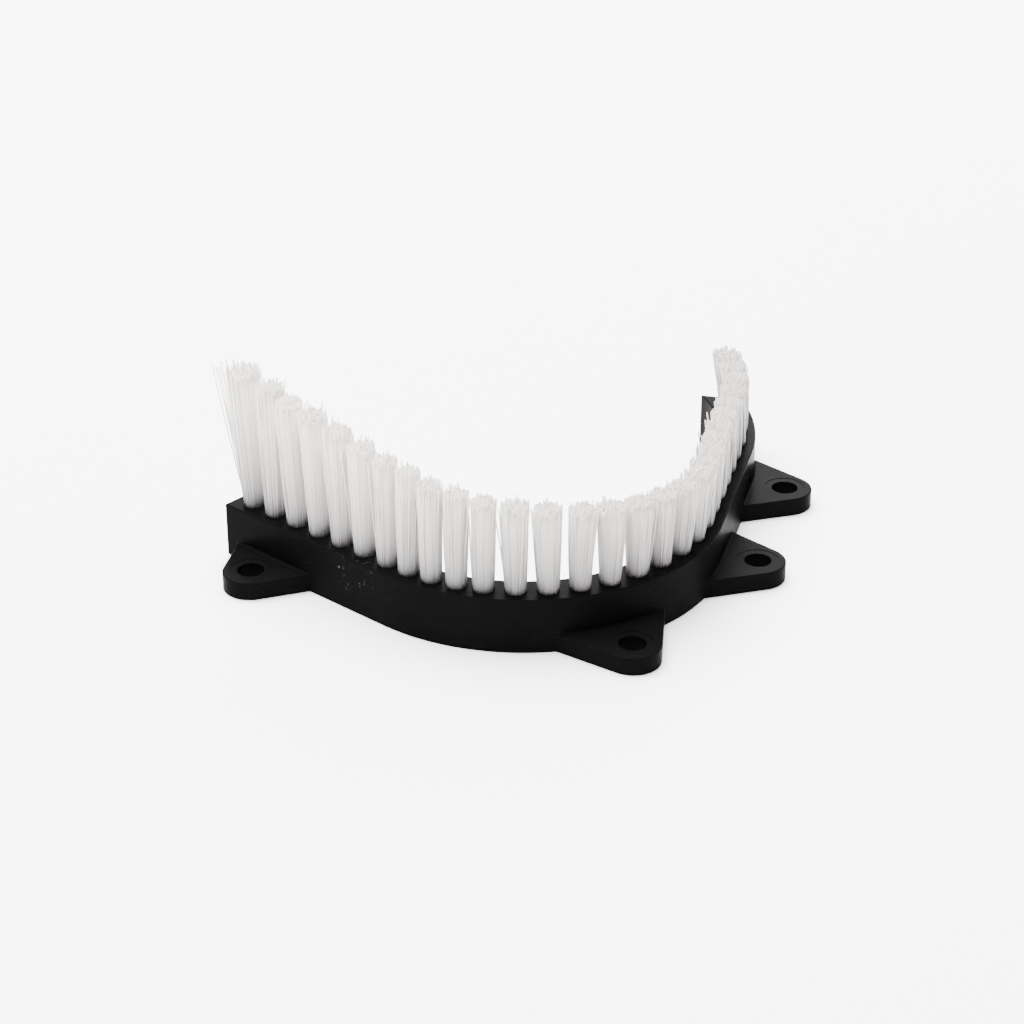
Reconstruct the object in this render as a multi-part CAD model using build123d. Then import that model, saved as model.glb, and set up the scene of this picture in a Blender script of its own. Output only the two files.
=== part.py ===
from build123d import *
import math
import os

# Curved brush strip for a pool cleaner: one moulded block with four screw lugs, a single row of
# staple-set bristle tufts along its top, and the small metal anchor that holds each tuft.
# Seen from above, the outer wall starts at the left end and runs anticlockwise: a straight left arm,
# the main bend, a straight side arm along Y, and the hook, which is cut off parallel to X.
# Millimetres and degrees. +Z is up, the way the bristles point.

# ---- Driving dimensions of the block ----
block_height = 13.8
strip_width = 9.2
left_arm_length = 52.7
left_arm_heading = -26.7     # direction of travel along the left arm, from +X
main_bend_radius = 49.0      # outer wall
side_arm_length = 40.0
hook_radius = 60.0           # outer wall
hook_reach = 29.6            # along Y, from the end of the side arm to the cut end
top_edge_round = 0.35
bottom_edge_round = 0.3

# ---- Screw lugs ----
lug_thickness = 4.6
lug_hole_diameter = 6.6      # clearance hole for an M6 or 1/4 inch screw
lug_tip_radius = 6.8
lug_flank_angle = 30.0       # each flank, from the line that runs straight out of the wall
lug_edge_round = 0.3
lug_root_fillet = 0.6
left_lug_from_end = 16.0     # along the left arm
left_lug_reach = 7.4         # hole centre, outside the outer wall
lug_reach = 8.6              # the same, for the other three
front_lug_angle = -50.1      # on the main bend, seen from its centre
side_lug_offset = 1.4        # past the end of the main bend
side_lug_spacing = 39.1
washer_seat_diameter = 10.4
washer_seat_depth = 0.1

# ---- Bristle tufts ----
tuft_count = 29
row_end_margin = 5.4         # from each end of the strip to the nearest hole centre
close_spaces_start = 7       # number of the tuft after which the row is drawn together
close_spaces = 4             # as many spaces as are drawn together
thinnest_slot_wall = 0.4     # between the anchors of tufts that are drawn together
tuft_hole_diameter = 5.2
tuft_hole_depth = 9.0
tuft_hole_clearance = 0.05   # on the radius, and under the tuft
tuft_tip_gap = 0.4           # between neighbours, where they have flared
first_tuft_trim = 35.6       # above the block, at the left end
last_tuft_trim = 15.2        # above the block, at the far end
trim_falloff = 2.2           # how fast the trim drops from the left end

# ---- Anchors: flat wire, pressed edgeways into the bottom of each hole ----
anchor_thickness = 0.5
anchor_height = 2.0
anchor_bite = 0.4            # into the hole's wall, at each end
anchor_lift = 0.9            # above the hole's floor, where the folded filaments pass under it
anchor_clearance = 0.05

same_place = 0.01            # two points nearer than this are one
on_floor = (Align.CENTER, Align.CENTER, Align.MIN)


def along(angle):
    """Unit vector at this angle from +X."""
    return Vector(math.cos(math.radians(angle)), math.sin(math.radians(angle)))


def left_arm_start(inset):
    """Left end of the line that lies this far inside the outer wall."""
    bend_start = along(left_arm_heading - 90) * (main_bend_radius - inset)
    return bend_start - along(left_arm_heading) * left_arm_length


def plan_line(inset):
    """Line in plan that lies this far inside the outer wall, as its four stretches."""
    bend_radius = main_bend_radius - inset
    inner_hook_radius = hook_radius - inset
    bend_sweep = 90 - left_arm_heading
    hook_sweep = math.degrees(math.asin(hook_reach / inner_hook_radius))
    left_arm = Line(left_arm_start(inset), along(-bend_sweep) * bend_radius)
    bend = CenterArc((0, 0), bend_radius, -bend_sweep, bend_sweep)
    side_arm = Line((bend_radius, 0), (bend_radius, side_arm_length))
    hook = CenterArc((main_bend_radius - hook_radius, side_arm_length), inner_hook_radius, 0, hook_sweep)
    return [left_arm, bend, side_arm, hook]


def tuft_spaces(row_length):
    """Space from each tuft to the next: even, apart from the few that are drawn together."""
    close_space = tuft_hole_diameter + 2 * anchor_bite + thinnest_slot_wall
    even_length = row_length - 2 * row_end_margin - close_spaces * close_space
    even_space = even_length / (tuft_count - 1 - close_spaces)
    after = tuft_count - close_spaces_start - close_spaces
    return [even_space] * (close_spaces_start - 1) + [close_space] * close_spaces + [even_space] * after


def tuft_row():
    """Centre of each tuft in plan, with X along the row there, and the spaces between them."""
    row = Wire(plan_line(strip_width / 2))
    spaces = tuft_spaces(row.length)
    places = []
    for index in range(tuft_count):
        distance = row_end_margin + sum(spaces[:index])
        centre = row.position_at(distance, position_mode=PositionMode.LENGTH)
        tangent = row.tangent_at(distance, position_mode=PositionMode.LENGTH)
        heading = math.degrees(math.atan2(tangent.Y, tangent.X))
        places.append(Location((centre.X, centre.Y, 0), (0, 0, heading)))
    return places, spaces


def lug_places():
    """Each lug's root on the outer wall, with its X axis straight out of the wall, and its reach."""
    left_root = left_arm_start(0) + along(left_arm_heading) * left_lug_from_end
    front_root = along(front_lug_angle) * main_bend_radius
    side_root = Vector(main_bend_radius, side_lug_offset)
    hook_root = Vector(main_bend_radius, side_lug_offset + side_lug_spacing)
    return [
        (Location(left_root, (0, 0, left_arm_heading - 90)), left_lug_reach),
        (Location(front_root, (0, 0, front_lug_angle)), lug_reach),
        (Location(side_root), lug_reach),
        (Location(hook_root), lug_reach),
    ]


def lug(reach):
    """Wedge with a round tip, its root inside the strip and its tip along +X."""
    flank_touch = along(90 - lug_flank_angle) * lug_tip_radius
    root = -strip_width / 2
    flank_slope = math.tan(math.radians(lug_flank_angle))
    root_half_width = flank_touch.Y + (reach + flank_touch.X - root) * flank_slope
    upper = (reach + flank_touch.X, flank_touch.Y)
    lower = (reach + flank_touch.X, -flank_touch.Y)
    outline = [
        Line((root, root_half_width), (root, -root_half_width)),
        Line((root, -root_half_width), lower),
        ThreePointArc(lower, (reach + lug_tip_radius, 0), upper),
        Line(upper, (root, root_half_width)),
    ]
    wedge = extrude(make_face(outline), lug_thickness, dir=(0, 0, 1))
    outside = [edge for edge in edges_at_height(wedge, lug_thickness) if (edge @ 0.5).X > root + same_place]
    return fillet(outside, lug_edge_round)


def strip():
    """The curved strip without lugs or holes."""
    outer = plan_line(0)
    inner = plan_line(strip_width)
    left_end = Line(inner[0] @ 0, outer[0] @ 0)
    far_end = Line(outer[-1] @ 1, inner[-1] @ 1)
    return extrude(make_face(outer + [far_end] + inner + [left_end]), block_height, dir=(0, 0, 1))


def is_on_outer_wall(edge):
    """True where both ends and the middle of an edge lie on the strip's outer wall."""
    wall = Wire(plan_line(0))
    points = [edge @ 0, edge @ 0.5, edge @ 1]
    return all(wall.distance_to(Vector(point.X, point.Y, 0)) < same_place for point in points)


def edges_at_height(shape, height):
    """Edges that lie flat at this height."""
    return shape.edges().filter_by_position(Axis.Z, height - same_place, height + same_place)


def moulded_body():
    """Strip and lugs as one moulding, with its inner corners and outer edges rounded."""
    body = strip()
    for place, reach in lug_places():
        body += place * lug(reach)
    upright = body.edges().filter_by(Axis.Z)
    short = [edge for edge in upright if edge.length < lug_thickness + same_place]
    lug_corners = [edge for edge in short if is_on_outer_wall(edge)]
    lug_roots = [edge for edge in edges_at_height(body, lug_thickness) if is_on_outer_wall(edge)]
    body = fillet(lug_corners + lug_roots, lug_root_fillet)
    body = fillet(edges_at_height(body, block_height), top_edge_round)
    return fillet(edges_at_height(body, 0), bottom_edge_round)


def lug_drillings():
    """Screw hole and shallow washer seat of every lug."""
    hole = Cylinder(lug_hole_diameter / 2, lug_thickness, align=on_floor)
    seat_floor = lug_thickness - washer_seat_depth
    seat = Pos(0, 0, seat_floor) * Cylinder(washer_seat_diameter / 2, washer_seat_depth, align=on_floor)
    return [place * Pos(reach, 0, 0) * (hole + seat) for place, reach in lug_places()]


def anchor(clearance):
    """Flat wire across a tuft hole along the row, or, with a clearance, the slot that holds it."""
    length = tuft_hole_diameter + 2 * anchor_bite + 2 * clearance
    height = anchor_height + 2 * clearance
    floor = block_height - tuft_hole_depth + anchor_lift - clearance
    return Pos(0, 0, floor) * Box(length, anchor_thickness + 2 * clearance, height, align=on_floor)


def tuft_hole():
    """Blind hole for one tuft, with the slot that its anchor cuts into the wall."""
    floor = block_height - tuft_hole_depth
    bore = Pos(0, 0, floor) * Cylinder(tuft_hole_diameter / 2, tuft_hole_depth, align=on_floor)
    return bore + anchor(anchor_clearance)


def tuft(trim, tip_radius):
    """Bundle of filaments folded round its anchor: straight in its hole, then flared up to its trim."""
    root_radius = tuft_hole_diameter / 2 - tuft_hole_clearance
    floor = block_height - tuft_hole_depth + tuft_hole_clearance
    root = Pos(0, 0, floor) * Cylinder(root_radius, block_height - floor, align=on_floor)
    flare = Pos(0, 0, block_height) * Cone(root_radius, tip_radius, trim, align=on_floor)
    return root + flare - anchor(anchor_clearance)


def trim_of(index):
    """Height of a tuft above the block: longest at the left end, and falling fast at first."""
    share_left = 1 - index / (tuft_count - 1)
    return last_tuft_trim + (first_tuft_trim - last_tuft_trim) * share_left ** trim_falloff


def tip_radius_of(index, spaces):
    """Radius to which a tuft flares, clear of its nearer neighbour."""
    nearer = min(spaces[max(index - 1, 0):index + 1])
    return (nearer - tuft_tip_gap) / 2


def main():
    os.makedirs("parts", exist_ok=True)
    places, spaces = tuft_row()
    body = moulded_body()
    body -= lug_drillings() + [place * tuft_hole() for place in places]
    box = body.bounding_box()
    to_origin = Pos(-box.center().X, -box.center().Y, 0)
    export_step(to_origin * body, "parts/brush_block.step")
    anchors = [to_origin * place * anchor(0) for place in places]
    export_step(Compound(children=anchors), "parts/tuft_anchors.step")
    for index, place in enumerate(places):
        bundle = to_origin * place * tuft(trim_of(index), tip_radius_of(index, spaces))
        export_step(bundle, f"parts/tuft_{index + 1:02d}.step")
    for number, (place, reach) in enumerate(lug_places(), 1):
        centre = (to_origin * place * Pos(reach, 0, 0)).position
        print(f"lug hole {number}: x {centre.X:.3f}, y {centre.Y:.3f}")
    print(f"origin shift {to_origin.position}, spaces {min(spaces):.3f} to {max(spaces):.3f}")


main()
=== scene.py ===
import math

import bpy
import numpy as np
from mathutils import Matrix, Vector


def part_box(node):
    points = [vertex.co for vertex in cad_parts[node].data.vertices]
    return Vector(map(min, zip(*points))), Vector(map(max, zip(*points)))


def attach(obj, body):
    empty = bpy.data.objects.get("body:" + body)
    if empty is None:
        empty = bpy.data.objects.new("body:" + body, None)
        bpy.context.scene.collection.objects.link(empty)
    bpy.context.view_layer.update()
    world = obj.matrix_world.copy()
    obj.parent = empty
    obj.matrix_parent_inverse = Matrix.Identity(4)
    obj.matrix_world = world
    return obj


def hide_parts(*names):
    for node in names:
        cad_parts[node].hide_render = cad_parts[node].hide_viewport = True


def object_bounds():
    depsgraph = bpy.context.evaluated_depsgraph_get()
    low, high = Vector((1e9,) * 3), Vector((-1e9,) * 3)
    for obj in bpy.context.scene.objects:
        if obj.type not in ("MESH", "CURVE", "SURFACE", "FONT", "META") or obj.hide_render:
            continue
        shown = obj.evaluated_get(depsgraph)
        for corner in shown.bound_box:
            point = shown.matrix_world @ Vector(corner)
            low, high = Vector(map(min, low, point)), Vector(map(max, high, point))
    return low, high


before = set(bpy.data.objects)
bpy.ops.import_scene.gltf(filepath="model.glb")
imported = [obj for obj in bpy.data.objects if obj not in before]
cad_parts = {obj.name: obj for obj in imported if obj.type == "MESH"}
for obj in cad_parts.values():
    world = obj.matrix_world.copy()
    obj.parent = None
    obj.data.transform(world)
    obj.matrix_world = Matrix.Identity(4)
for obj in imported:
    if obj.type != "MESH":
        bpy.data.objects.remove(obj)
cad_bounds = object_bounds()

# Curved brush strip. The CAD block and anchors keep their shapes and get detailed materials. Each plain
# CAD tuft is replaced by its filaments.
# Sizes and places are in metres, in the frame of the CAD part: +Z up, the side arm's outer wall facing
# +X, origin at the middle of the part's box, on the underside. Angles are in degrees, or as said.

# ---- Filaments ----
FILAMENT_RADIUS = 0.00016
FILAMENTS_PER_TUFT = 300
FILAMENT_SIDES = 6
FILAMENT_RINGS = 7
SUNK = 0.0012                 # how far a filament is followed down into its hole
ROOT_SHARE = 0.985            # of the CAD solid's root radius
TIP_SHARE = 0.97              # of the CAD solid's tip radius
FLARE_CURVE = 1.02            # 1 would be a straight cone
GOLDEN_ANGLE = math.pi * (3 - math.sqrt(5))  # radians
ANGLE_JITTER = 0.25           # radians, round the bundle
TIP_JITTER = 0.00022          # sideways, at the tip
BOW = 0.00016                 # sideways, at half height
FIRST_SEED = 700              # a tuft's number is added to it
IN_HOLE = 0.0001              # a CAD point no further than this above the block is still in the hole

# ---- Cut ends ----
TRIM_JITTER = 0.00030         # of each filament's length
TRIM_CLUMP = 0.00036          # of the length of neighbours that stick together
CLUMP_WIDTH = 0.0011
CLUMP_WAVES = 4
CLUMP_WAVE_LENGTHS = (0.8, 1.8)  # shortest and longest, in clump widths
SHORT_SHARE = 0.02            # of the filaments, cut short
SHORTEST_BY = 0.0016
PROUD_SHARE = 0.020           # of the filaments, standing proud
PROUD_BY = 0.0022
LEAST_MISCUT = 0.3            # of SHORTEST_BY or PROUD_BY
RIM_CURVE = 3                 # power of the distance from the middle, where a rim is rounded down

# The long tufts at the left end are cut less evenly than the rest, and more so nearer the end.
LONG_TUFTS = 10
LONG_TUFT_RAGGED = 0.7        # share added at the end, which falls to none at the last long tuft

# Tufts whose cut differs from the rest: how far the rim is rounded down, and how ragged they are.
ROUNDED_TUFTS = {3: (0.0011, 0.35), 6: (0.0005, 0.8)}
PLAIN_TUFT = (0.0, 1.0)

# ---- Strays: a few outer filaments that bend away from each tuft but the first ----
STRAYS_PER_TUFT = 4
STRAY_REACH = 0.0018
LEAST_STRAY = 0.35            # of that reach
STRAYS_OUTSIDE = 0.8          # of the bundle's radius
STRAY_DROP = 0.12             # of its reach that a stray's tip comes down

# The first tuft leans and widens past the left end, and its outermost filaments have splayed away.
END_LEAN = 0.0017
END_WIDEN = 1.20
END_STRAY_COUNT = 9
END_STRAY_REACH = (0.0014, 0.0060)
END_STRAY_UNEVEN = 0.0002
END_STRAY_TURN = (-0.1, 0.45)  # radians from the left arm's direction

# ---- Leans of whole tufts ----
TUFT_TILT = 0.00018           # any way, at the tip

# The last tufts lean in towards the middle of the curl, which is -X there, and more so nearer the end.
INWARD_LEAN = 0.0013
INWARD_FROM = 19
INWARD_RAMP = 7               # tufts over which the lean grows

# Some tufts lean the left arm's way: towards its end, or away from it where this is negative.
LEANING_TUFTS = {3: 0.0015, 4: 0.0010, 5: 0.0009, 6: 0.0003, 14: -0.0004, 18: -0.0004}

# ---- Core ----
# The middle of a tuft, where the filaments are packed too tightly to tell apart, is one fluted cone.
CORE_SHARE = 0.945            # of the bundle's radius
CORE_BELOW_TIP = 0.0017
CORE_FLUTES = 46
CORE_FLUTE_DEPTH = 0.00005
CORE_STEPS_PER_FLUTE = 4
CORE_RINGS = 8
CORE_CAP_RINGS = 3
CORE_CAP_HEIGHT = 0.25        # of the tip radius
CORE_TINT = 0.5

MIDDLE_OF_NOISE = (0.3, 0.7)  # most of a noise pattern lies in this

# ---- Plastic: a range is from where a pattern starts to show to where it is full ----
PLASTIC_DARK = (0.0018, 0.0018, 0.0019)
PLASTIC_PALE = (0.0034, 0.0032, 0.0030)
PLASTIC_SPECULAR = 0.0045
PLASTIC_ROUGHNESS = (0.26, 0.42)
PATCH_SCALE = 55.0            # faint flow patches
PATCH_BUMP = {"Strength": 0.25, "Distance": 0.0004}
GRAIN_SCALE = 2600.0
GRAIN_BUMP = {"Strength": 0.10, "Distance": 0.00008}
GRAIN_IN_MOTTLE = 0.4         # beside 1 for the patches
MOTTLE_RANGE = (0.45, 0.95)

# Fine level scratches, where the plastic is worn.
SCRATCH_COLOUR = (0.012, 0.012, 0.0115)
SCRATCH_SCALE = 420.0
SCRATCH_STRETCH = (1.0, 1.0, 9.0)
SCRATCH_RANGE = (0.70, 0.76)
SCRATCH_MIX = 0.5
WORN_SCALE = 48.0
WORN_RANGE = (0.54, 0.62)

# Pale scuffs on the outer wall of the left arm.
SCUFF_COLOUR = (0.10, 0.096, 0.093)
SPECK_SCALE = 1100.0
SPECK_RANGE = (0.60, 0.68)
PICKED_SCALE = 300.0          # a coarser pattern, which leaves some specks out
PICKED_RANGE = (0.46, 0.60)
SCUFFED_TUFT = 6              # they lie beside this one
SCUFF_DROP = 0.0016           # below the top of the block
SCUFF_REACH = 0.0078
SCUFF_THICKEST = 0.4          # of that reach, within which they don't thin out
STRIP_WIDTH = 0.0092          # of the CAD block

# ---- Wire ----
WIRE_DARK = (0.50, 0.50, 0.49)
WIRE_PALE = (0.66, 0.66, 0.64)
WIRE_SCALE = 900.0
WIRE_STRETCH = (1.0, 1.0, 12.0)
WIRE_ROUGHNESS = (0.24, 0.42)

# ---- Nylon: the colour of a filament by its height above the block, lowest first; painted shade darkens it towards the block ----
LONGEST_RISE = 0.026
NYLON_PAINTED_SHADE_BY_RISE = (
    (0.0, (0.050, 0.049, 0.052)),
    (0.0008, (0.10, 0.098, 0.102)),
    (0.0017, (0.14, 0.136, 0.140)),
    (0.0035, (0.22, 0.213, 0.215)),
    (0.0060, (0.34, 0.328, 0.325)),
    (0.0100, (0.46, 0.442, 0.430)),
    (0.0150, (0.60, 0.574, 0.548)),
    (LONGEST_RISE, (0.83, 0.79, 0.745)),
)
STREAK_COLOUR = (0.50, 0.47, 0.44)
STREAK_BY_FILAMENT = 0.15     # at the most
STREAK_BY_CLOUD = 0.15        # at the most
CLOUD_SCALE = 1400.0
CLOUD_STRETCH = (1.0, 1.0, 0.12)
CLOUD_RANGE = (0.45, 0.75)
# Near the cut end the nylon turns warmer, its own tint, and darker, painted shade that takes back the
# overhead light on the tips.
CUT_END_TINT_AND_SHADE = (0.22, 0.20, 0.165)
CUT_END_TINT_AND_SHADE_MIX = 0.32
CUT_END_FADE = (0.0036, 0.0002)  # below the tip, from none to all of it
NYLON_SPECULAR = 0.3
NYLON_ROUGHNESS = (0.40, 0.55)

# ---- Floor ----
FLOOR_HALF = 3.0
FLOOR_GAP = 0.00005           # under the block
FLOOR_DARK = (0.94, 0.94, 0.94)
FLOOR_PALE = (0.96, 0.96, 0.96)
FLOOR_SCALE = 3.0
FLOOR_ROUGHNESS = 0.9
FLOOR_SPECULAR = 0.1

# ---- Light: a large softbox overhead, a smaller one low behind the part, and an even pale surround ----
SOFTBOXES = {                 # place, width and power; each faces the origin
    "overhead": ((-0.55, 0.3, 2.1), 2.2, 460.0),
    "behind": ((-0.22, 1.7, 0.95), 1.1, 66.0),
}
SURROUND_COLOUR = (1.0, 0.995, 0.985)
SURROUND_STRENGTH = 0.8

# ---- View ----
VIEW_AZIMUTH = 14.7           # the camera looks along +Y, turned this far anticlockwise
VIEW_ELEVATION = 27.86
VIEW_DISTANCE = 0.6548
VIEW_TARGET = Vector((-0.00536, 0.00926, 0.0))
LENS_MM = 91.58
SENSOR_MM = 36.0


# ---------------------------------------------------------------- node helpers
def link(material, source, target):
    """Link one node's output socket to another's input socket."""
    material.node_tree.links.new(source, target)


def new_material(name):
    """Empty material with an output, a Principled shader and object coordinates."""
    material = bpy.data.materials.new(name)
    material.use_nodes = True
    nodes = material.node_tree.nodes
    nodes.clear()
    output = nodes.new("ShaderNodeOutputMaterial")
    shader = nodes.new("ShaderNodeBsdfPrincipled")
    coordinates = nodes.new("ShaderNodeTexCoord")
    link(material, shader.outputs["BSDF"], output.inputs["Surface"])
    return material, shader, coordinates.outputs["Object"]


def node(material, kind, inputs, **settings):
    """A node of this kind, with its settings, and a value or a link for each of these inputs."""
    made = material.node_tree.nodes.new(kind)
    for key, value in settings.items():
        setattr(made, key, value)
    for key, value in inputs.items():
        if isinstance(value, bpy.types.NodeSocket):
            link(material, value, made.inputs[key])
        else:
            made.inputs[key].default_value = value
    return made


def noise(material, place, scale, detail, roughness=0.55):
    """Noise from about 0 to 1."""
    inputs = {"Vector": place, "Scale": scale, "Detail": detail, "Roughness": roughness}
    return node(material, "ShaderNodeTexNoise", inputs).outputs["Fac"]


def remap(material, value, source, target=(0.0, 1.0)):
    """A value moved from one range to another, and held inside it."""
    inputs = {
        "Value": value,
        "From Min": source[0],
        "From Max": source[1],
        "To Min": target[0],
        "To Max": target[1],
    }
    return node(material, "ShaderNodeMapRange", inputs, clamp=True).outputs["Result"]


def calculate(material, operation, first, second):
    """Sum or product of two values."""
    return node(material, "ShaderNodeMath", {0: first, 1: second}, operation=operation).outputs["Value"]


def mix_colour(material, factor, first, second):
    """Blend of two colours, each an RGB triple or a socket."""
    inputs = {"Factor": factor}
    for key, colour in (("A", first), ("B", second)):
        inputs[key] = colour if isinstance(colour, bpy.types.NodeSocket) else (*colour, 1.0)
    return node(material, "ShaderNodeMix", inputs, data_type="RGBA").outputs["Result"]


def bump(material, inputs):
    """Surface direction, tilted by a height."""
    return node(material, "ShaderNodeBump", inputs).outputs["Normal"]


def scaled(material, place, scale):
    """Coordinates scaled along each axis, so that a texture comes out as lines."""
    return node(material, "ShaderNodeMapping", {"Vector": place, "Scale": scale}).outputs["Vector"]


def point_value(material, name):
    """A value that the mesh stores at each of its points."""
    return node(material, "ShaderNodeAttribute", {}, attribute_name=name).outputs["Fac"]


# ---------------------------------------------------------------- materials
def scuffs(material, place, scuffed_place):
    """Mask of irregular specks that thin out away from one place."""
    away = node(material, "ShaderNodeVectorMath", {0: place, 1: scuffed_place}, operation="DISTANCE")
    zone = remap(material, away.outputs["Value"], (SCUFF_REACH, SCUFF_THICKEST * SCUFF_REACH))
    specks = remap(material, noise(material, place, SPECK_SCALE, detail=3.0, roughness=0.65), SPECK_RANGE)
    picked = remap(material, noise(material, place, PICKED_SCALE, detail=1.0), PICKED_RANGE)
    return calculate(material, "MULTIPLY", calculate(material, "MULTIPLY", specks, picked), zone)


def scratches(material, place):
    """Mask of fine level scratches, which come in patches."""
    level = scaled(material, place, SCRATCH_STRETCH)
    fine = noise(material, level, SCRATCH_SCALE, detail=3.0, roughness=0.7)
    scratched = remap(material, fine, SCRATCH_RANGE, (0.0, SCRATCH_MIX))
    worn = remap(material, noise(material, place, WORN_SCALE, detail=2.0), WORN_RANGE)
    return calculate(material, "MULTIPLY", scratched, worn)


def black_plastic(scuffed_place):
    """Satin moulded plastic with fine grain, faint flow patches, fine scratches and pale scuffs."""
    material, shader, place = new_material("black_plastic")
    patches = noise(material, place, PATCH_SCALE, detail=3.0)
    grain = noise(material, place, GRAIN_SCALE, detail=2.0)
    colour = mix_colour(material, patches, PLASTIC_DARK, PLASTIC_PALE)
    colour = mix_colour(material, scuffs(material, place, scuffed_place), colour, SCUFF_COLOUR)
    colour = mix_colour(material, scratches(material, place), colour, SCRATCH_COLOUR)
    link(material, colour, shader.inputs["Base Color"])
    mottle = calculate(material, "ADD", patches, calculate(material, "MULTIPLY", grain, GRAIN_IN_MOTTLE))
    link(material, remap(material, mottle, MOTTLE_RANGE, PLASTIC_ROUGHNESS), shader.inputs["Roughness"])
    shader.inputs["Specular IOR Level"].default_value = PLASTIC_SPECULAR
    grained = bump(material, {"Height": grain, **GRAIN_BUMP})
    wavy = bump(material, {"Height": patches, "Normal": grained, **PATCH_BUMP})
    link(material, wavy, shader.inputs["Normal"])
    return material


def stainless_wire():
    """Flat stainless wire with drawing lines along it."""
    material, shader, place = new_material("stainless_wire")
    lines = noise(material, scaled(material, place, WIRE_STRETCH), WIRE_SCALE, detail=3.0)
    link(material, mix_colour(material, lines, WIRE_DARK, WIRE_PALE), shader.inputs["Base Color"])
    link(material, remap(material, lines, MIDDLE_OF_NOISE, WIRE_ROUGHNESS), shader.inputs["Roughness"])
    shader.inputs["Metallic"].default_value = 1.0
    return material


def nylon_painted_shade_by_rise(material):
    """Colour of the nylon by its height: painted shade, grey where the black block takes its light,
    whiter above.
    """
    height = remap(material, point_value(material, "rise"), (0.0, LONGEST_RISE))
    ramp = node(material, "ShaderNodeValToRGB", {"Fac": height})
    stops = ramp.color_ramp.elements
    for rise, _ in NYLON_PAINTED_SHADE_BY_RISE[1:-1]:
        stops.new(rise / LONGEST_RISE)
    for stop, (_, colour) in zip(stops, NYLON_PAINTED_SHADE_BY_RISE):
        stop.color = (*colour, 1.0)
    return ramp.outputs["Color"]


def nylon():
    """Milky nylon filament, streaked from one filament to the next, with painted shade that darkens it
    towards the block, and warmer and darker at its cut end, where the darkening is painted shade.
    """
    material, shader, place = new_material("nylon_filament")
    cloud = noise(material, scaled(material, place, CLOUD_STRETCH), CLOUD_SCALE, detail=3.0)
    by_filament = calculate(material, "MULTIPLY", point_value(material, "tint"), STREAK_BY_FILAMENT)
    by_cloud = remap(material, cloud, CLOUD_RANGE, (0.0, STREAK_BY_CLOUD))
    streaks = calculate(material, "ADD", by_filament, by_cloud)
    # The base colour carries painted shade by height, darkest at the block.
    colour = mix_colour(material, streaks, nylon_painted_shade_by_rise(material), STREAK_COLOUR)
    near_end = remap(material, point_value(material, "below_tip"), CUT_END_FADE)
    # Warm tint and painted shade near the cut end.
    tip_tint_and_shade = calculate(material, "MULTIPLY", near_end, CUT_END_TINT_AND_SHADE_MIX)
    colour = mix_colour(material, tip_tint_and_shade, colour, CUT_END_TINT_AND_SHADE)
    link(material, colour, shader.inputs["Base Color"])
    link(material, remap(material, cloud, MIDDLE_OF_NOISE, NYLON_ROUGHNESS), shader.inputs["Roughness"])
    shader.inputs["Specular IOR Level"].default_value = NYLON_SPECULAR
    return material


def pale_floor():
    """Matt studio floor with a very faint change of tone."""
    material, shader, place = new_material("pale_floor")
    tone = noise(material, place, FLOOR_SCALE, detail=2.0)
    link(material, mix_colour(material, tone, FLOOR_DARK, FLOOR_PALE), shader.inputs["Base Color"])
    shader.inputs["Roughness"].default_value = FLOOR_ROUGHNESS
    shader.inputs["Specular IOR Level"].default_value = FLOOR_SPECULAR
    return material


# ---------------------------------------------------------------- filaments
def tuft_shape(name, block_top):
    """A tuft's centre, root radius, tip radius and tip height, from its CAD solid."""
    low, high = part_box(name)
    centre = (low + high) / 2
    points = [vertex.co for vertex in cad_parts[name].data.vertices]
    in_hole = [point for point in points if point.z < block_top + IN_HOLE]
    root_radius = max(math.hypot(point.x - centre.x, point.y - centre.y) for point in in_hole)
    return centre, root_radius, (high.x - low.x) / 2, high.z


def tuft_lean(number, random, arm_direction):
    """How far a tuft's tip stands out of line, in X and Y."""
    tilt = random.normal(0, TUFT_TILT, 2)
    if number == 1:
        return arm_direction * END_LEAN
    tilt += arm_direction * LEANING_TUFTS.get(number, 0.0)
    tilt[0] -= INWARD_LEAN * min(max(number - INWARD_FROM, 0) / INWARD_RAMP, 1.0)
    return tilt


def clumped(points, random, width):
    """Smooth random height over the cut end, from -1 to 1, so that neighbouring filaments agree."""
    total = np.zeros(len(points))
    for _ in range(CLUMP_WAVES):
        heading = random.uniform(0, 2 * math.pi)
        direction = np.array([math.cos(heading), math.sin(heading)])
        wave = direction * 2 * math.pi / (width * random.uniform(*CLUMP_WAVE_LENGTHS))
        total += np.sin(points @ wave + random.uniform(0, 2 * math.pi)) / CLUMP_WAVES
    return total


def miscut(random, count, share, reach):
    """How far each filament is cut wrong: nothing for most, and up to this reach for a few."""
    wrong = random.uniform(0, 1, count) < share
    return wrong * random.uniform(LEAST_MISCUT, 1.0, count) * reach


def trimmed_heights(tip, share, tip_height, random, number):
    """Height of each filament's cut end: ragged, in clumps, with some short and a few proud."""
    count = len(tip)
    rim_drop, ragged = ROUNDED_TUFTS.get(number, PLAIN_TUFT)
    ragged *= 1 + LONG_TUFT_RAGGED * max(1 - number / LONG_TUFTS, 0)
    height = tip_height - rim_drop * share ** RIM_CURVE
    clumps = TRIM_CLUMP * clumped(tip, random, CLUMP_WIDTH)
    height += ragged * (clumps + random.normal(0, TRIM_JITTER, count))
    height -= miscut(random, count, SHORT_SHARE, SHORTEST_BY)
    height += ragged * miscut(random, count, PROUD_SHARE, PROUD_BY)
    return height - ragged * TRIM_JITTER


def splay(tip, outward, share, random):
    """Bend a few outer filaments away from their bundle, and return which and how far each went."""
    outer = np.nonzero(share > STRAYS_OUTSIDE)[0]
    chosen = random.choice(outer, STRAYS_PER_TUFT, replace=False)
    reach = STRAY_REACH * random.uniform(LEAST_STRAY, 1.0, STRAYS_PER_TUFT)
    tip[chosen] += outward[chosen] * reach[:, None]
    return chosen, reach


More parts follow.
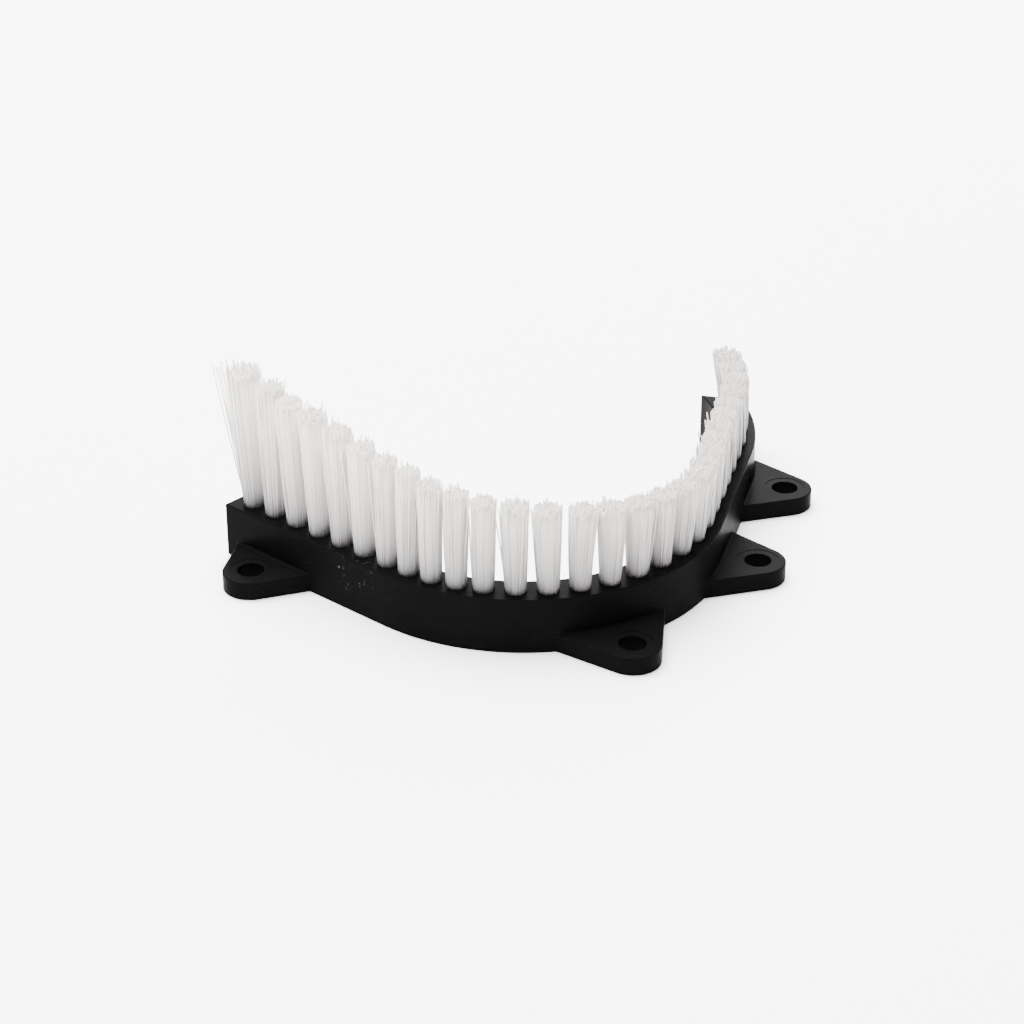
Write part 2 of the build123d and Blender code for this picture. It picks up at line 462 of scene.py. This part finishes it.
def splay_to_end(tip, outward, share, random, arm_direction):
    """Fan the outermost filaments out past the arm's end, and return which and how far each went."""
    facing = outward @ arm_direction
    chosen = np.argsort(-(facing * share))[:END_STRAY_COUNT]
    reach = np.linspace(*END_STRAY_REACH, END_STRAY_COUNT)
    reach += random.normal(0, END_STRAY_UNEVEN, END_STRAY_COUNT)
    turn = random.uniform(*END_STRAY_TURN, END_STRAY_COUNT)
    tip[chosen, 0] += reach * (arm_direction[0] * np.cos(turn) - arm_direction[1] * np.sin(turn))
    tip[chosen, 1] += reach * (arm_direction[0] * np.sin(turn) + arm_direction[1] * np.cos(turn))
    return chosen, reach


def swept_paths(root, tip, bow, base, height):
    """Middle line of each filament; root, tip and bow are (count, 2), height is (count)."""
    paths = np.zeros((len(root), FILAMENT_RINGS, 3))
    for ring, climb in enumerate(np.linspace(0, 1, FILAMENT_RINGS)):
        bowed = bow * math.sin(math.pi * climb)
        paths[:, ring, :2] = root + (tip - root) * climb ** FLARE_CURVE + bowed
        paths[:, ring, 2] = base + (height - base) * climb
    return paths


def filament_paths(number, random, base, root_radius, tip_radius, tip_height, arm_direction, lean):
    """Middle lines of all the filaments of a tuft whose own middle is at X 0, Y 0."""
    count = FILAMENTS_PER_TUFT
    share = np.sqrt((np.arange(count) + 0.5) / count)
    angle = np.arange(count) * GOLDEN_ANGLE + random.uniform(-ANGLE_JITTER, ANGLE_JITTER, count)
    outward = np.stack([np.cos(angle), np.sin(angle)], axis=1)
    root = outward * (share * (root_radius - FILAMENT_RADIUS))[:, None]
    tip = outward * (share * (tip_radius - FILAMENT_RADIUS))[:, None]
    tip = tip + random.normal(0, TIP_JITTER, (count, 2)) + lean
    height = trimmed_heights(tip, share, tip_height, random, number)
    if number == 1:
        chosen, reach = splay_to_end(tip, outward, share, random, arm_direction)
    else:
        chosen, reach = splay(tip, outward, share, random)
    height[chosen] -= STRAY_DROP * reach
    return swept_paths(root, tip, random.normal(0, BOW, (count, 2)), base, height)


def skin(first, rings, sides):
    """Faces of a closed tube whose points run ring by ring, upwards, from this first one."""
    faces = []
    for ring in range(rings - 1):
        low = first + ring * sides
        for side in range(sides):
            after = (side + 1) % sides
            faces.append((low + side, low + after, low + after + sides, low + side + sides))
    faces.append(tuple(first + side for side in reversed(range(sides))))
    faces.append(tuple(first + (rings - 1) * sides + side for side in range(sides)))
    return faces


def tubes(paths):
    """Points and faces of a closed round tube along each path; paths has the shape (tube, ring, xyz)."""
    count, rings, _ = paths.shape
    sides = FILAMENT_SIDES
    angles = np.arange(sides) * 2 * math.pi / sides
    section = np.stack([np.cos(angles), np.sin(angles), np.zeros(sides)], axis=1) * FILAMENT_RADIUS
    points = (paths[:, :, None, :] + section[None, None, :, :]).reshape(-1, 3)
    faces = []
    for tube in range(count):
        faces += skin(tube * rings * sides, rings, sides)
    return points, faces


def tuft_core(root_radius, tip_radius, lean, base, tip_height):
    """Points and faces of a closed fluted cone with a rounded shoulder, in the middle of a tuft."""
    around = CORE_FLUTES * CORE_STEPS_PER_FLUTE
    angles = np.arange(around) * 2 * math.pi / around
    shoulder = tip_height - CORE_BELOW_TIP
    points = []
    for ring in range(CORE_RINGS + CORE_CAP_RINGS):
        climb = min(ring / CORE_RINGS, 1.0) * (shoulder - base) / (tip_height - base)
        cap = max(ring - CORE_RINGS, 0) / CORE_CAP_RINGS
        radius = CORE_SHARE * (root_radius + (tip_radius - root_radius) * climb ** FLARE_CURVE)
        radius *= math.sqrt(1 - cap ** 2)
        height = base + (tip_height - base) * climb + cap * CORE_CAP_HEIGHT * tip_radius
        fluted = radius + CORE_FLUTE_DEPTH * np.cos(angles * CORE_FLUTES)
        x = np.cos(angles) * fluted + lean[0] * climb ** FLARE_CURVE
        y = np.sin(angles) * fluted + lean[1] * climb ** FLARE_CURVE
        points.append(np.stack([x, y, np.full(around, height)], axis=1))
    return np.concatenate(points), skin(0, len(points), around)


def tuft_mesh(name, points, faces, point_values):
    """Smooth mesh that stores these values, by name, at its points."""
    mesh = bpy.data.meshes.new(name)
    mesh.from_pydata(points.tolist(), [], faces)
    mesh.update()
    for key, values in point_values.items():
        layer = mesh.attributes.new(key, "FLOAT", "POINT")
        layer.data.foreach_set("value", values.astype(np.float32))
    mesh.shade_smooth()
    return mesh


def add_tuft(number, material, block_top, arm_direction):
    """All the filaments of one tuft and its core, standing for its plain CAD solid."""
    cad_name = f"tuft_{number:02d}"
    random = np.random.default_rng(FIRST_SEED + number)
    centre, root_radius, tip_radius, tip_height = tuft_shape(cad_name, block_top)
    root_radius *= ROOT_SHARE
    tip_radius *= TIP_SHARE
    if number == 1:
        tip_radius *= END_WIDEN
    lean = tuft_lean(number, random, arm_direction)
    base = block_top - SUNK
    paths = filament_paths(number, random, base, root_radius, tip_radius, tip_height, arm_direction, lean)
    points, faces = tubes(paths)
    core_points, core_faces = tuft_core(root_radius, tip_radius, lean, base, tip_height)
    tint = np.repeat(random.uniform(0, 1, FILAMENTS_PER_TUFT), FILAMENT_RINGS * FILAMENT_SIDES)
    tint = np.concatenate([tint, np.full(len(core_points), CORE_TINT)])
    faces += [tuple(len(points) + corner for corner in face) for face in core_faces]
    points = np.concatenate([points, core_points])
    values = {"rise": points[:, 2] - block_top, "below_tip": tip_height - points[:, 2], "tint": tint}
    points[:, :2] += (centre.x, centre.y)
    mesh = tuft_mesh(f"filaments_{number:02d}", points, faces, values)
    mesh.materials.append(material)
    piece = bpy.data.objects.new(f"filaments_{number:02d}", mesh)
    bpy.context.scene.collection.objects.link(piece)
    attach(piece, "root")
    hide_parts(cad_name)


# ---------------------------------------------------------------- stage
def add_floor():
    """Wide flat floor under the block."""
    corners = [(-FLOOR_HALF, -FLOOR_HALF), (FLOOR_HALF, -FLOOR_HALF), (FLOOR_HALF, FLOOR_HALF),
               (-FLOOR_HALF, FLOOR_HALF)]
    height = cad_bounds[0].z - FLOOR_GAP
    mesh = bpy.data.meshes.new("floor")
    mesh.from_pydata([(x, y, height) for x, y in corners], [], [(0, 1, 2, 3)])
    mesh.materials.append(pale_floor())
    floor = bpy.data.objects.new("floor", mesh)
    bpy.context.scene.collection.objects.link(floor)


def add_softbox(name, place, width, power):
    """Square area light that faces the origin."""
    data = bpy.data.lights.new(name, "AREA")
    data.shape = "SQUARE"
    data.size = width
    data.energy = power
    lamp = bpy.data.objects.new(name, data)
    bpy.context.scene.collection.objects.link(lamp)
    lamp.location = place
    lamp.rotation_euler = (-Vector(place)).to_track_quat("-Z", "Y").to_euler()


def add_surround():
    """Even pale light from every side."""
    world = bpy.data.worlds.new("studio")
    world.use_nodes = True
    background = world.node_tree.nodes["Background"]
    background.inputs["Color"].default_value = (*SURROUND_COLOUR, 1.0)
    background.inputs["Strength"].default_value = SURROUND_STRENGTH
    bpy.context.scene.world = world


def add_camera():
    """Camera that looks down at the view's target."""
    azimuth = math.radians(VIEW_AZIMUTH)
    elevation = math.radians(VIEW_ELEVATION)
    level = math.cos(elevation)
    forward = Vector((-math.sin(azimuth) * level, math.cos(azimuth) * level, -math.sin(elevation)))
    data = bpy.data.cameras.new("view")
    data.lens = LENS_MM
    data.sensor_width = SENSOR_MM
    camera = bpy.data.objects.new("view", data)
    bpy.context.scene.collection.objects.link(camera)
    camera.location = VIEW_TARGET - forward * VIEW_DISTANCE
    camera.rotation_euler = forward.to_track_quat("-Z", "Y").to_euler()
    bpy.context.scene.camera = camera


# ---------------------------------------------------------------- build
def finish_cad_node(name, material):
    """The CAD node keeps its shape and gets one detailed material."""
    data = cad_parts[name].data
    data.materials.clear()
    data.materials.append(material)


def middle_of_scuffs(block_top):
    """Place on the outer wall, beside the scuffed tuft."""
    low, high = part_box(f"tuft_{SCUFFED_TUFT:02d}")
    before, after = (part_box(f"tuft_{SCUFFED_TUFT + step:02d}")[0] for step in (-1, 1))
    outward = Vector(((after - before).y, (before - after).x, 0)).normalized()
    place = (low + high) / 2 + outward * (STRIP_WIDTH / 2)
    place.z = block_top - SCUFF_DROP
    return place


def main():
    """Finish the CAD nodes, put filaments in place of the tufts, and set the stage."""
    block_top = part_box("brush_block")[1].z
    finish_cad_node("brush_block", black_plastic(middle_of_scuffs(block_top)))
    finish_cad_node("tuft_anchors", stainless_wire())
    tufts = [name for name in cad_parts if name.startswith("tuft_") and name != "tuft_anchors"]
    first, second = (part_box(name)[0] for name in ("tuft_01", "tuft_02"))
    arm_direction = np.array((first - second).to_2d().normalized())
    material = nylon()
    for number in range(1, len(tufts) + 1):
        add_tuft(number, material, block_top, arm_direction)
    add_floor()
    for name, (place, width, power) in SOFTBOXES.items():
        add_softbox(name, place, width, power)
    add_surround()
    add_camera()


main()
